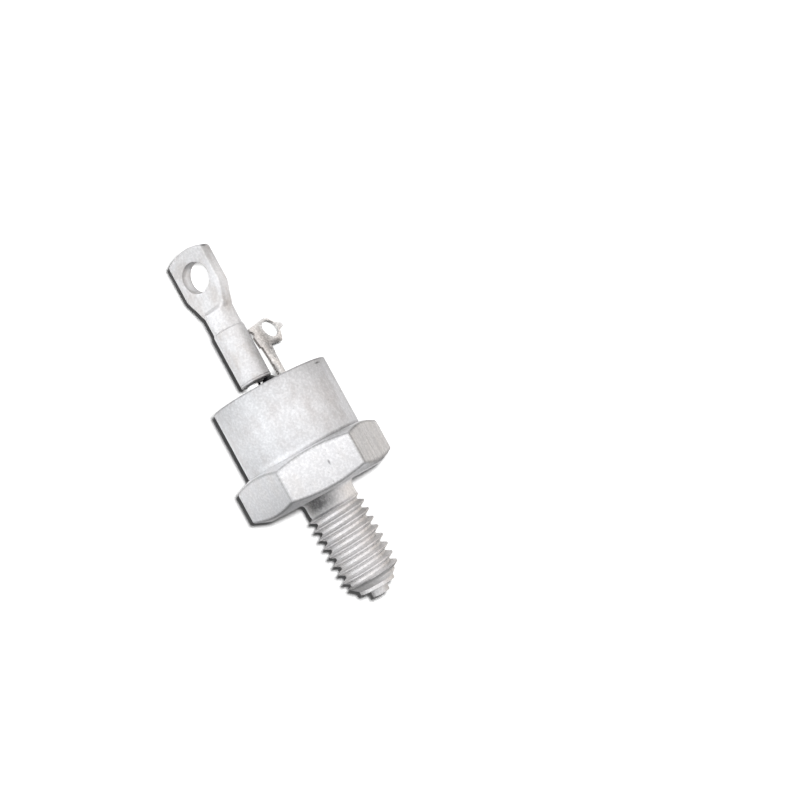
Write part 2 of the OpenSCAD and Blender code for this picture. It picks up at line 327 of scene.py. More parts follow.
def wind_thread(bm, start_x, end_x):
    """Winds the thread as a screw of rows that follow the helix, and trims it square at both ends."""
    first = CREST_X - PITCH * math.ceil((CREST_X - start_x) / PITCH + 1)
    rows = int((end_x - first) / PITCH + 1) * ROWS_PER_PITCH
    verts = [bm.verts.new((first + PITCH * i / ROWS_PER_PITCH, 0, STUD_R)) for i in range(rows + 1)]
    edges = [bm.edges.new(pair) for pair in zip(verts, verts[1:])]
    bmesh.ops.spin(
        bm, geom=verts + edges, cent=(0, 0, 0), axis=(1, 0, 0), dvec=(PITCH / TURN_STEPS, 0, 0),
        angle=TAU, steps=TURN_STEPS, use_merge=False,
    )
    merge(bm)
    for v in bm.verts:
        turn = math.atan2(-v.co.y, v.co.z)
        v.co.yz = Vector((v.co.y, v.co.z)).normalized() * thread_radius(v.co.x, turn)
    cut(bm, (start_x, 0, 0), (-1, 0, 0))
    cut(bm, (end_x, 0, 0), (1, 0, 0))


def add_screw(bm):
    """Adds the thread, which is wound and trimmed in a mesh of its own."""
    screw = bmesh.new()
    wind_thread(screw, THREAD_END_X, THREAD_TOP_X)
    mesh = bpy.data.meshes.new("screw")
    screw.to_mesh(mesh)
    screw.free()
    bm.from_mesh(mesh)
    bpy.data.meshes.remove(mesh)


def add_tip(bm):
    """Turns the land at the end of the stud and the nub on it."""
    section = [
        (TIP_LAND_X, TIP_R),
        (-STUD_L + TIP_ROUND, TIP_R),
        (-STUD_L, TIP_R - TIP_ROUND),
        (-STUD_L, NUB_R + NUB_ROUND),
        (-STUD_L - NUB_EASE, NUB_R + NUB_EASE),
        (-STUD_L - NUB_ROUND, NUB_R),
        (NUB_END_X + NUB_ROUND, NUB_R),
        (NUB_END_X + NUB_EASE, NUB_R - NUB_EASE),
        (NUB_END_X, NUB_R - NUB_ROUND),
        (NUB_END_X, 0),
    ]
    lathe(bm, section)


def make_stud_base(material):
    """Base of one piece: hex, neck, threaded stud and nub."""
    bm = bmesh.new()
    add_hex_blank(bm)
    add_screw(bm)
    add_tip(bm)
    merge(bm)
    for near, far in ((THREAD_TOP_X, NECK_END_X), (TIP_LAND_X, THREAD_END_X)):
        bmesh.ops.bridge_loops(bm, edges=rim_edges(bm, near) + rim_edges(bm, far))
    finish_piece(bm, "threaded_base", "stud_base", material)


# Can
def make_can(material):
    """Can that is open underneath and has a round opening in its top."""
    bm = bmesh.new()
    section = [
        (HEX_H, CAN_INNER_R),
        (HEX_H, CAN_R),
        (CAN_TOP_X, CAN_R),
        (CAN_TOP_X, HEADER_R),
        (CAN_TOP_X - CAN_TOP_T, HEADER_R),
        (CAN_TOP_X - CAN_TOP_T, CAN_INNER_R),
        (HEX_H, CAN_INNER_R),
    ]
    lathe(bm, section)
    merge(bm)
    soften(bm, circle_edges(bm, CAN_TOP_X, CAN_R), CAN_ROUND)
    soften(bm, circle_edges(bm, CAN_TOP_X, HEADER_R), RING_ROUND)
    soften(bm, circle_edges(bm, HEX_H, CAN_R), CAN_ROUND)
    finish_piece(bm, "drawn_can", "case_can", material)


# Cathode lug
def lug_point(x, w, n):
    """A place on the lug: along the axis, across the paddle and out of its face."""
    y = LUG_Y - w * math.cos(PADDLE_TURN) + n * math.sin(PADDLE_TURN)
    z = w * math.sin(PADDLE_TURN) + n * math.cos(PADDLE_TURN)
    return Vector((x, y, z))


def flat_ring(half_w, half_t, corner):
    """Ring of (w, n) points of a flat section with round corners."""
    flat = half_w - corner
    side = half_t - corner
    turns = [math.radians(a) for a in LUG_CORNER_TURNS]
    half = [(flat * (2 * i / LUG_FRONT_STEPS - 1), half_t) for i in range(LUG_FRONT_STEPS + 1)]
    half += [(flat + corner * math.sin(t), side + corner * math.cos(t)) for t in turns]
    half += [(half_w, side * share) for share in (0.5, 0, -0.5)]
    half += [(flat + corner * math.sin(t), -side - corner * math.cos(t)) for t in reversed(turns)]
    return half + [(-w, -n) for w, n in half]


def round_ring(radius, apothem=None):
    """Ring of (w, n) points of a round section, pressed to six flats where an apothem is given."""
    count = len(flat_ring(PADDLE_HALF_W, PADDLE_HALF_T, LUG_CORNER_R)) // 2
    front_span = LUG_FRONT_FROM - LUG_FRONT_TO
    front = [LUG_FRONT_FROM - front_span * i / LUG_FRONT_STEPS for i in range(LUG_FRONT_STEPS + 1)]
    sides = count - len(front)
    half = front + [LUG_FRONT_TO - 2 * LUG_FRONT_TO * (i + 1) / (sides + 1) for i in range(sides)]
    ring = []
    for a in half + [a - 180 for a in half]:
        r = radius
        if apothem:
            off_flat = (a - CRIMP_CORNER) % CRIMP_SIDE - CRIMP_SIDE / 2
            r = min(radius, apothem / math.cos(math.radians(off_flat)))
        ring.append((r * math.cos(math.radians(a)), r * math.sin(math.radians(a))))
    return ring


def blend_ring(a, b, t):
    """Ring between two rings, at a share of the way from the first."""
    return [(p[0] + (q[0] - p[0]) * t, p[1] + (q[1] - p[1]) * t) for p, q in zip(a, b)]


def end_sag(w):
    """How far the round end of the paddle falls back at a place across it."""
    return PADDLE_END_R - math.sqrt(PADDLE_END_R ** 2 - w ** 2)


def shift_ring(ring):
    """Moves a ring from the middle of the lug to the middle of the post."""
    w = -POST_SHIFT * math.cos(PADDLE_TURN)
    n = POST_SHIFT * math.sin(PADDLE_TURN)
    return [(p[0] + w, p[1] + n) for p in ring]


def lug_rings():
    """Stations of the lug as (x, ring, share of the end's round), from its bore's bottom to its end."""
    crimp = round_ring(BARREL_R, CRIMP_APOTHEM)
    crimp_lip = round_ring(BARREL_R - CRIMP_LIP, CRIMP_APOTHEM + CRIMP_LIP_SPARE)
    pressed = flat_ring(PRESS_HALF_W, PADDLE_HALF_T, LUG_CORNER_R)
    paddle = flat_ring(PADDLE_HALF_W, PADDLE_HALF_T, LUG_CORNER_R)
    post_bore = shift_ring(round_ring(POST_BORE_R))
    rings = [
        (POST_END_X, shift_ring(round_ring(0)), 0),
        (POST_END_X, post_bore, 0),
        (CRIMP_X, post_bore, 0),
        (CRIMP_X, round_ring(BARREL_BORE_R), 0),
    ]
    rings += [(BARREL_X + along, round_ring(BARREL_BORE_R + depth), 0) for along, depth in BORE_MOUTH]
    rings += [(BARREL_X + along, round_ring(BARREL_R - depth), 0) for along, depth in BARREL_FOOT]
    rings += [(CRIMP_X + along, round_ring(BARREL_R - depth), 0) for along, depth in CRIMP_GROOVE]
    rings.append((CRIMP_X + CRIMP_LIP, crimp_lip, 0))
    rings.append((CRIMP_X + CRIMP_FULL, crimp, 0))
    rings.append((SHOULDER_X - SHOULDER_EASE, crimp, 0))
    for t, share in SHOULDER_STEPS:
        rings.append((SHOULDER_X + (FLAT_X - SHOULDER_X) * t, blend_ring(crimp, pressed, share), 0))
    for i in range(1, WIDENING_STEPS + 1):
        t = i / WIDENING_STEPS
        widening = (1 - WIDENING_EASE) * t + WIDENING_EASE * smooth(t)
        rings.append((FLAT_X + (PADDLE_X - FLAT_X) * t, blend_ring(pressed, paddle, widening), 0))
    last = PADDLE_END_X - END_EDGE
    for i in range(1, PADDLE_ROWS + 1):
        t = i / PADDLE_ROWS
        round_share = smooth((t - END_ROUND_START) / END_ROUND_SPAN)
        rings.append((PADDLE_X + (last - PADDLE_X) * t, paddle, round_share))
    for inset, along in END_STEPS:
        half_w = PADDLE_HALF_W - min(inset, END_SIDE_INSET)
        ring = flat_ring(half_w, PADDLE_HALF_T - inset, max(0.0, LUG_CORNER_R - inset))
        rings.append((last + along, ring, 1))
    return rings


def pierce_paddle(bm):
    """Punches the hole through the paddle and rounds its rim."""
    centre = lug_point(LUG_HOLE_X, 0, 0)
    axis = lug_point(0, 0, 1) - lug_point(0, 0, 0)

    def from_hole(co):
        out = co - centre
        return out - axis * out.dot(axis)

    def in_hole(face):
        return any(from_hole(v.co).length < LUG_HOLE_R - PUNCH_ROUND for v in face.verts)

    bm.normal_update()
    punched = [f for f in bm.faces if abs(f.normal.dot(axis)) > FACING_COSINE and in_hole(f)]
    bmesh.ops.delete(bm, geom=punched, context="FACES")
    rim = [e for e in bm.edges if e.is_boundary]
    for v in {v for e in rim for v in e.verts}:
        out = from_hole(v.co)
        v.co += out.normalized() * (LUG_HOLE_R - out.length)
    bmesh.ops.bridge_loops(bm, edges=rim)
    soften(bm, rim, PUNCH_ROUND)


def make_lug(material):
    """Lug drawn out ring by ring from its bore to the end of its pierced paddle."""
    bm = bmesh.new()
    place = bm.verts.layers.int.new("place")
    rings = lug_rings()
    count = len(rings[0][1])
    ring_verts = bmesh.ops.create_circle(bm, cap_ends=False, radius=1, segments=count)["verts"]
    for i, v in enumerate(ring_verts):
        v[place] = i
    for k, (x, ring, round_share) in enumerate(rings):
        if k:
            last_ring = set(ring_verts)
            open_edges = [e for e in bm.edges if e.is_boundary or e.is_wire]
            edges = [e for e in open_edges if all(v in last_ring for v in e.verts)]
            ring_verts = new_verts(bmesh.ops.extrude_edge_only(bm, edges=edges))
        for v in ring_verts:
            w, n = ring[v[place]]
            v.co = lug_point(x - end_sag(w) * round_share, w, n)
    merge(bm)
    pierce_paddle(bm)
    finish_piece(bm, "pressed_lug", "cathode_lug", material)


# Gate terminal
# Outline of the flattened stem and the flag as (across, up) from the pin's axis at the bend
FLAG_FOOT = -1.05
FLAG_OUTLINE = [
    (-0.632, FLAG_FOOT), (0.606, FLAG_FOOT), (0.69, -0.2), (2.447, -0.2), (3.15, 1.003), (3.85, 1.3),
    (3.85, 1.7), (3.15, 1.997), (2.447, 2.7), (2.047, 2.75), (1.95, 2.85), (-0.95, 2.175), (-0.95, 1.85),
    (-0.7, 1.75), (-0.6, 1.5), (-0.7, 1.25), (-0.95, 1.15), (-0.95, -0.2), (-0.73, -0.2),
]

# The bend runs this far to both sides of its middle, and is cut at these levels
BEND_HALF = 0.25
BEND_LEVELS = (-BEND_HALF, -0.1, 0.1, BEND_HALF)


def place_gate(co):
    """Moves a place given across, up and out of the flag to the frame of the device."""
    w, up, n = co
    lean = FLAG_LEAN * smooth((up + BEND_HALF) / (2 * BEND_HALF))
    x = BEND_X + up
    if lean:
        x = BEND_X + up * math.cos(lean) + n * math.sin(lean)
        n = n * math.cos(lean) - up * math.sin(lean)
    y = GATE_Y - w * math.cos(FLAG_TURN) + n * math.sin(FLAG_TURN)
    z = GATE_Z + w * math.sin(FLAG_TURN) + n * math.cos(FLAG_TURN)
    return Vector((x, y, z))


def closed_loop(bm, points):
    """Adds a closed loop of edges through points."""
    verts = [bm.verts.new(p) for p in points]
    return [bm.edges.new((verts[i - 1], verts[i])) for i in range(len(verts))]


def circle(count, radius):
    """Points of a circle about the origin."""
    return [(radius * math.cos(TAU * i / count), radius * math.sin(TAU * i / count)) for i in range(count)]


def at_foot(part):
    """Whether an edge or a face lies on the foot of the flattened stem."""
    return all(abs(v.co.y - FLAG_FOOT) < SLACK for v in part.verts)


def on_flag_rim(edge):
    """Whether an edge runs round a face of the flag."""
    level = abs(edge.verts[0].co.z - edge.verts[1].co.z) < SLACK
    return level and not edge.is_boundary and edge.calc_face_angle(0) > SHARP_TURN


def make_gate(material):
    """Round pin whose upper end is coined flat, with a flag and an eye that lean back."""
    bm = bmesh.new()
    closed_loop(bm, [(w, up, -FLAG_HALF_T) for w, up in FLAG_OUTLINE])
    closed_loop(bm, [(EYE_W + w, EYE_UP + up, -FLAG_HALF_T) for w, up in circle(EYE_STEPS, EYE_R)])
    bmesh.ops.triangle_fill(bm, edges=bm.edges[:], use_beauty=True, use_dissolve=False)
    made = bmesh.ops.extrude_face_region(bm, geom=bm.faces[:], use_keep_orig=True)
    bmesh.ops.translate(bm, verts=new_verts(made), vec=(0, 0, 2 * FLAG_HALF_T))
    bmesh.ops.recalc_face_normals(bm, faces=bm.faces)
    bmesh.ops.delete(bm, geom=[f for f in bm.faces if at_foot(f)], context="FACES_ONLY")
    soften(bm, [e for e in bm.edges if on_flag_rim(e)], FLAG_ROUND)
    for level in BEND_LEVELS:
        cut(bm, (0, level, 0), (0, 1, 0), clear=False)
    pin_foot = GATE_PIN_X - BEND_X
    coin = COIN_X - BEND_X
    loops = []
    for up, radius in ((pin_foot, 0), (pin_foot, GATE_PIN_R), (coin, GATE_PIN_R)):
        loops.append(closed_loop(bm, [(w, up, n) for w, n in circle(PIN_STEPS, radius)]))
    for low, high in zip(loops, loops[1:]):
        bmesh.ops.bridge_loops(bm, edges=low + high)
    open_foot = [e for e in bm.edges if e.is_boundary and at_foot(e)]
    bmesh.ops.bridge_loops(bm, edges=loops[-1] + open_foot)
    for v in bm.verts:
        v.co = place_gate(v.co)
    finish_piece(bm, "coined_gate_pin", "gate_terminal", material)


# Finishes
# Noise of the finish as (stretch, scale, detail, level that gives 0, level that gives 1)
STAIN_NOISE = ((0.7, 1, 1), 0.55, 5, 0.46, 0.68)
STREAK_NOISE = ((0.16, 1.6, 1.6), 1.7, 4, 0.35, 0.65)
GRAIN_NOISE = ((1, 1, 1), 4.2, 4, 0.64, 0.44)
PIT_NOISE = ((1, 1, 1), 3.1, 2, 0.68, 0.74)
NOISE_ROUGHNESS = 0.6

# Ramps of the finish as (from, to, value at from, value at to), with places in millimetres; most of them
# place painted shade and highlight
# Painted shade: surfaces that face right are darker and take on the stain colour
SHADED_SIDE = (-0.25, -0.7, 0, 1)
# Painted shade along the outlines that face right
RIM_TURN = (-0.9, -0.97, 0, 1)
# Painted shade on the hex's rounded edges and its foot, found by how they face and where they lie
OFF_FLAT = (0.9, -0.5, 0, 1)
ROUNDED_SLOPE = (0.1, 0.4, 0, 1)
SEAT_SLOPE = (0.8, 0.88, 1, 0)
FOOT_ALONG = (0.2, 0.7, 1.6, 0)
FOOT_ACROSS = (-2, -6, 0, 1)
# Painted shade on the thread's crests, its right side and the tip's cone, and a painted highlight in its
# roots
CREST_HEIGHT = (2.6, 2.95, -0.15, 1)
CREST_ACROSS = (-0.8, 1.2, 0.2, 1)
SHADED_THREAD_SIDE = (-1.2, -2, 0, 0.8)
THREAD_START = (-1.7, -2.3, 0, 1)
THREAD_STOP = (-9.9, -9.7, 0, 1)
TIP_START = (-9.6, -9.75, 0, 1)
TIP_SHADE = (-9.9, -10.1, 2.2, 0.3)
MARK_EDGE = (1, 0.2, 0, 1)
SHADE_OUTSIDE_R = 6.6

# Inputs of the finish: values that are 0 unless given, and marks that each have a place and a size; some
# marks are real and some are painted shade and painted light
PLAIN_INPUTS = (
    "Stains", "Tarnish", "Streaks", "Grain", "Pits", "Edges", "Crests", "Rim",
    "Fade", "Fade Stain", "Fade Start",
)
MARKS = ("Mark", "Nick", "Scratch", "Rub")
PALE_GREY = (0.8, 0.8, 0.8, 1)
DARK_GREY = (0.4, 0.4, 0.4, 1)
ROUGHER = 0.35
# Grey tint of the metal's reflection at grazing angles, which paints shade along the outlines
METAL_TINT = (0.65, 0.65, 0.65, 1)
RELIEF_DEPTH = 0.05


def add_node(tree, kind, **settings):
    """Adds a shader node and sets its properties."""
    node = tree.nodes.new(kind)
    for key, value in settings.items():
        setattr(node, key, value)
    return node


def feed(tree, socket, value):
    """Links another socket to a socket, or gives it a plain value."""
    if isinstance(value, bpy.types.NodeSocket):
        tree.links.new(value, socket)
    else:
        socket.default_value = value


def add_math(tree, operation, a, b=0):
    """Adds a sum on values, each a socket or a number."""
    node = add_node(tree, "ShaderNodeMath", operation=operation)
    feed(tree, node.inputs[0], a)
    feed(tree, node.inputs[1], b)
    return node.outputs["Value"]


def add_product(tree, a, b):
    """Adds the product of two values."""
    return add_math(tree, "MULTIPLY", a, b)


def add_total(tree, total, *others):
    """Adds up values."""
    for value in others:
        total = add_math(tree, "ADD", total, value)
    return total


def add_vector(tree, operation, a, b=(0, 0, 0)):
    """Adds a sum on vectors, each a socket or three numbers."""
    node = add_node(tree, "ShaderNodeVectorMath", operation=operation)
    feed(tree, node.inputs[0], a)
    feed(tree, node.inputs[1], b)
    return node.outputs


def add_split(tree, vector):
    """Splits a vector into X, Y and Z."""
    node = add_node(tree, "ShaderNodeSeparateXYZ")
    tree.links.new(vector, node.inputs[0])
    return node.outputs


def add_place(tree):
    """Adds the place on the object in millimetres, as a vector."""
    coords = add_node(tree, "ShaderNodeTexCoord").outputs["Object"]
    return add_vector(tree, "MULTIPLY", coords, (1 / MM, 1 / MM, 1 / MM))["Vector"]


def add_range(tree, value, low, high, first=0, last=1):
    """Adds a ramp that turns low to high of a value into first to last, and stops there."""
    node = add_node(tree, "ShaderNodeMapRange")
    ends = {"Value": value, "From Min": low, "From Max": high, "To Min": first, "To Max": last}
    for key, end in ends.items():
        feed(tree, node.inputs[key], end)
    return node.outputs["Result"]


def add_noise(tree, place, stretch, scale, detail, low, high):
    """Adds noise and spreads the part between two levels over 0 to 1."""
    mapping = add_node(tree, "ShaderNodeMapping")
    mapping.inputs["Scale"].default_value = stretch
    tree.links.new(place, mapping.inputs["Vector"])
    noise = add_node(tree, "ShaderNodeTexNoise")
    noise.inputs["Scale"].default_value = scale
    noise.inputs["Detail"].default_value = detail
    noise.inputs["Roughness"].default_value = NOISE_ROUGHNESS
    tree.links.new(mapping.outputs["Vector"], noise.inputs["Vector"])
    return add_range(tree, noise.outputs[0], low, high)


def add_mix(tree, share, a, b, blend="MIX"):
    """Adds a mix of two colours."""
    node = add_node(tree, "ShaderNodeMix", data_type="RGBA", blend_type=blend)
    for key, value in (("Factor", share), ("A", a), ("B", b)):
        feed(tree, node.inputs[key], value)
    return node.outputs["Result"]


def add_mark(tree, place, middle, size):
    """Adds a soft round mark, 1 in its middle, at a place and of a size in millimetres."""
    offset = add_vector(tree, "SUBTRACT", place, middle)["Vector"]
    share = add_vector(tree, "DIVIDE", offset, size)["Vector"]
    return add_range(tree, add_vector(tree, "LENGTH", share)["Value"], *MARK_EDGE)


def add_radius(tree, axes):
    """Adds the distance from the device axis."""
    squares = [add_math(tree, "POWER", axes[key], 2) for key in ("Y", "Z")]
    return add_math(tree, "SQRT", add_total(tree, *squares))


def add_hex_edges(tree, axes):
    """Adds a mask of painted shade on the hex's foot and on the rounded edges round its flats, found by how
    they face.
    """
    normal = add_split(tree, add_node(tree, "ShaderNodeNewGeometry").outputs["True Normal"])
    turn = add_math(tree, "ARCTAN2", normal["Y"], normal["Z"])
    on_flat = add_math(tree, "COSINE", add_product(tree, turn, HEX_SIDES))
    slope = add_math(tree, "ABSOLUTE", normal["X"])
    upright = add_range(tree, on_flat, *OFF_FLAT)
    rounded = add_range(tree, slope, *ROUNDED_SLOPE)
    steep = add_range(tree, slope, *SEAT_SLOPE)
    edge = add_product(tree, add_math(tree, "MAXIMUM", upright, rounded), steep)
    foot = add_product(
        tree, add_range(tree, axes["X"], *FOOT_ALONG), add_range(tree, axes["Y"], *FOOT_ACROSS),
    )
    outside = add_math(tree, "GREATER_THAN", add_radius(tree, axes), SHADE_OUTSIDE_R)
    return add_product(tree, add_math(tree, "MAXIMUM", edge, foot), outside)


def add_crests(tree, axes):
    """Adds painted shade on the stud: above 0 on the tip's cone, the crests and the right side, and below
    0, a painted highlight, in the roots.
    """
    height = add_range(tree, add_radius(tree, axes), *CREST_HEIGHT)
    shade_across = add_range(tree, axes["Y"], *CREST_ACROSS)
    shaded = add_total(tree, add_product(tree, height, shade_across), add_range(tree, axes["Y"], *SHADED_THREAD_SIDE))
    on_thread = add_product(
        tree, add_range(tree, axes["X"], *THREAD_START), add_range(tree, axes["X"], *THREAD_STOP),
    )
    tip = add_product(tree, add_range(tree, axes["X"], *TIP_START), add_range(tree, axes["X"], *TIP_SHADE))
    return add_total(tree, add_product(tree, shaded, on_thread), tip)


def add_wear_and_shade_sockets(tree):
    """Gives the finish its inputs and outputs."""
    inputs = [("Colour", "NodeSocketColor", PALE_GREY), ("Stain", "NodeSocketColor", DARK_GREY)]
    inputs += [(name, "NodeSocketFloat", 0) for name in PLAIN_INPUTS]
    inputs += [("Fade End", "NodeSocketFloat", 1), ("Roughness", "NodeSocketFloat", 0.5)]
    for name in MARKS:
        inputs.append((name, "NodeSocketFloat", 0))
        inputs.append((name + " Place", "NodeSocketVector", (0, 0, 0)))
        inputs.append((name + " Size", "NodeSocketVector", (1, 1, 1)))
    for name, kind, value in inputs:
        tree.interface.new_socket(name, in_out="INPUT", socket_type=kind).default_value = value
    tree.interface.new_socket("Colour", in_out="OUTPUT", socket_type="NodeSocketColor")
    for name in ("Roughness", "Height"):
        tree.interface.new_socket(name, in_out="OUTPUT", socket_type="NodeSocketFloat")


def make_wear_and_shade_finish():
    """Node group of a used surface with painted shade and light. Stains, painted shade on the side that
    faces right and a ramp along the axis colour it. Streaks, grain and pits darken and roughen it. Painted
    shade on edges, crests and rims, a ramp along the axis, and single marks, some real and some painted
    shade and light, darken it, or brighten it where their amount is below 0."""
    tree = bpy.data.node_groups.new("wear_and_shade_finish", "ShaderNodeTree")
    add_wear_and_shade_sockets(tree)
    given = add_node(tree, "NodeGroupInput").outputs

    def weigh(masks):
        return [add_product(tree, mask, given[name]) for name, mask in masks.items()]

    place = add_place(tree)
    axes = add_split(tree, place)
    facing = add_split(tree, add_node(tree, "ShaderNodeNewGeometry").outputs["Normal"])
    # Painted shade: surfaces that face right are darker and warmer, and carry the streaks
    shaded_side = add_range(tree, facing["Y"], *SHADED_SIDE)
    fade = add_range(tree, axes["X"], given["Fade Start"], given["Fade End"])
    stains = {"Stains": add_noise(tree, place, *STAIN_NOISE), "Tarnish": shaded_side, "Fade Stain": fade}
    colour = add_mix(tree, add_total(tree, *weigh(stains)), given["Colour"], given["Stain"])
    hollows = {
        "Streaks": add_product(tree, shaded_side, add_noise(tree, place, *STREAK_NOISE)),
        "Grain": add_noise(tree, place, *GRAIN_NOISE),
        "Pits": add_noise(tree, place, *PIT_NOISE),
    }
    depth = add_total(tree, *weigh(hollows))
    # Painted shade on the hex's edges and foot, on the thread and on outlines that face right, with a
    # painted highlight in the thread's roots; a ramp along the axis; and single marks, some real and some
    # painted shade and light
    shading_and_marks = {
        "Edges": add_hex_edges(tree, axes),
        "Crests": add_crests(tree, axes),
        "Rim": add_range(tree, facing["Y"], *RIM_TURN),
        "Fade": fade,
    }
    for name in MARKS:
        shading_and_marks[name] = add_mark(tree, place, given[name + " Place"], given[name + " Size"])
    light = add_math(tree, "SUBTRACT", 1, add_total(tree, depth, *weigh(shading_and_marks)))
    shade = add_node(tree, "ShaderNodeCombineColor")
    for socket in shade.inputs:
        tree.links.new(light, socket)
    shaded = add_mix(tree, 1, colour, shade.outputs["Color"], "MULTIPLY")
    rough = add_total(tree, given["Roughness"], add_product(tree, depth, ROUGHER))
    result = add_node(tree, "NodeGroupOutput").inputs
    tree.links.new(shaded, result["Colour"])
    tree.links.new(rough, result["Roughness"])
    tree.links.new(add_math(tree, "SUBTRACT", 1, depth), result["Height"])
    return tree


wear_and_shade_finish = make_wear_and_shade_finish()


def make_finish(name, colour, stain, roughness, metallic=1.0, bump=0.2, **amounts):
    """A procedural material of the finish with its painted shade and light; the amounts go to the group's
    inputs of the same name.
    """
    material = bpy.data.materials.new(name)
    material.use_nodes = True
    tree = material.node_tree
    shader = tree.nodes["Principled BSDF"]
    shader.inputs["Metallic"].default_value = metallic
    shader.inputs["Specular Tint"].default_value = METAL_TINT
    shaded = add_node(tree, "ShaderNodeGroup", node_tree=wear_and_shade_finish)
    shaded.inputs["Colour"].default_value = (*colour, 1)
    shaded.inputs["Stain"].default_value = (*stain, 1)
    shaded.inputs["Roughness"].default_value = roughness
    for key, value in amounts.items():
        shaded.inputs[key.replace("_", " ").title()].default_value = value
    relief = add_node(tree, "ShaderNodeBump")
    relief.inputs["Strength"].default_value = bump
    relief.inputs["Distance"].default_value = RELIEF_DEPTH * MM
    tree.links.new(shaded.outputs["Height"], relief.inputs["Height"])
    tree.links.new(shaded.outputs["Colour"], shader.inputs["Base Color"])
    tree.links.new(shaded.outputs["Roughness"], shader.inputs["Roughness"])
    tree.links.new(relief.outputs["Normal"], shader.inputs["Normal"])
    return material


# Painted shade on the side that faces right, on the hex's edges and foot and on the thread, with a painted
# highlight in its roots; the third mark is a painted shadow of the can's foot on the hex's top chamfer, the
# fourth a painted highlight on the right of the neck. The first mark darkens the left of the neck, the
# second is a nick on the front flat, and the stud is lighter and warmer than the hex.
plated_base = make_finish(
    "plated_base", (0.79, 0.792, 0.807), (0.78, 0.72, 0.65), 0.58, bump=0.4,
    stains=0.15, tarnish=0.25, streaks=0.15, grain=0.13, pits=0.15, edges=0.32, crests=0.17,
    fade=-0.09, fade_start=0, fade_end=-0.4, fade_stain=0.15,
    mark=0.75, mark_place=(-0.7, 1.6, 2.1), mark_size=(1.5, 3.4, 2.3),
    nick=0.5, nick_place=(2.45, -0.95, HEX_APOTHEM), nick_size=(0.35, 0.15, 0.3),
    scratch=0.25, scratch_place=(4.6, -3.6, 6.2), scratch_size=(0.5, 3.5, 3.5),
    rub=-0.25, rub_place=(-0.8, -1.9, 1.9), rub_size=(1.3, 2.4, 2.4),
)
# Painted shade on the side and outline that face right; the first mark is a painted shadow where the can
# meets the hex on the right, the second painted shade on the top and its edge, the fourth a painted
# highlight on the foot's left. The third mark is a small dark mark near the top, and the can is darker
# towards the top.
plated_can = make_finish(
    "plated_can", (0.82, 0.825, 0.84), (0.6, 0.57, 0.56), 0.62,
    stains=0.45, tarnish=0.15, streaks=0.06, grain=0.11, pits=0.1, rim=0.12,
    fade=0.2, fade_start=8.5, fade_end=12.2,
    mark=0.4, mark_place=(4.75, -3.2, 5.5), mark_size=(0.3, 6, 6),
    nick=0.35, nick_place=(CAN_TOP_X, 0, 0), nick_size=(0.2, 20, 20),
    scratch=0.5, scratch_place=(11.8, -5, 3.9), scratch_size=(0.14, 0.6, 0.8),
    rub=-0.15, rub_place=(5, 2.6, 5.8), rub_size=(0.4, 5, 5),
)
# Painted shade on the side and outline that face right; the first mark is painted shade on the barrel's
# right beside the gate, the third painted light on the hole's wall, the fourth a painted highlight on the
# shoulder's right facet. The second is a nick at the paddle's corner, and the paddle is darker towards its
# end.
plated_lug = make_finish(
    "plated_lug", (0.768, 0.766, 0.774), (0.58, 0.54, 0.51), 0.58,
    stains=0.6, tarnish=0.05, streaks=0.06, grain=0.11, pits=0.12, rim=0.1,
    fade=0.13, fade_start=22.5, fade_end=27.5,
    mark=0.3, mark_place=(15.5, -0.8, 0.8), mark_size=(5, 1.2, 2.4),
    nick=0.6, nick_place=(28.15, -0.87, 1.62), nick_size=(0.35, 0.6, 0.6),
    scratch=-0.4, scratch_place=(26.3, 1.85, -0.85), scratch_size=(1.6, 0.9, 0.75),
    rub=-0.25, rub_place=(24.2, -0.85, 1.35), rub_size=(3.6, 1, 1.2),
)
# The first mark darkens the stem and the flag; the second is painted shade along the flag's lower edge by
# the bend.
plated_gate = make_finish(
    "plated_gate", (0.9, 0.89, 0.88), (0.6, 0.52, 0.46), 0.5,
    stains=0.35, streaks=0.06, grain=0.25, pits=0.4,
    mark=0.33, mark_place=(16.3, -2.25, -1.25), mark_size=(2.6, 0.9, 1.1),
    nick=0.55, nick_place=(16.42, -3.05, -2.1), nick_size=(0.4, 1, 1),
)
header_steel = make_finish(
    "header_steel", (0.62, 0.61, 0.6), (0.4, 0.38, 0.37), 0.4,
    stains=0.3, streaks=0.05, grain=0.1, pits=0.1,
)
dark_glass = make_finish(
    "dark_glass", (0.008, 0.008, 0.01), (0.02, 0.018, 0.02), 0.14, metallic=0.0, bump=0.05,
    stains=0.5, grain=0.3, pits=0.1,
)
solder = make_finish(
    "solder", (0.6, 0.6, 0.62), (0.42, 0.42, 0.44), 0.4,
    stains=0.4, grain=0.15, pits=0.15,
)
contact_metal = make_finish(
    "contact_metal", (0.45, 0.46, 0.48), (0.35, 0.36, 0.38), 0.5,
    stains=0.3, grain=0.15, pits=0.05,
)
tinned_post = make_finish(
    "tinned_post", (0.93, 0.93, 0.93), (0.8, 0.79, 0.78), 0.2,
    stains=0.2, grain=0.06, pits=0.03,
)
silicon = make_finish(
    "silicon", (0.18, 0.18, 0.2), (0.14, 0.14, 0.17), 0.2, metallic=0.0, bump=0.05,
    stains=0.4, grain=0.05,
)
silicone = make_finish(
    "silicone", (0.85, 0.85, 0.83), (0.75, 0.74, 0.7), 0.6, metallic=0.0, bump=0.1,
    stains=0.4, grain=0.05, pits=0.05,
)
copper = make_finish(
    "copper", (0.72, 0.4, 0.26), (0.45, 0.22, 0.14), 0.4,
    stains=0.4, streaks=0.15, grain=0.1, pits=0.05,
)

make_stud_base(plated_base)
make_can(plated_can)
make_lug(plated_lug)
make_gate(plated_gate)

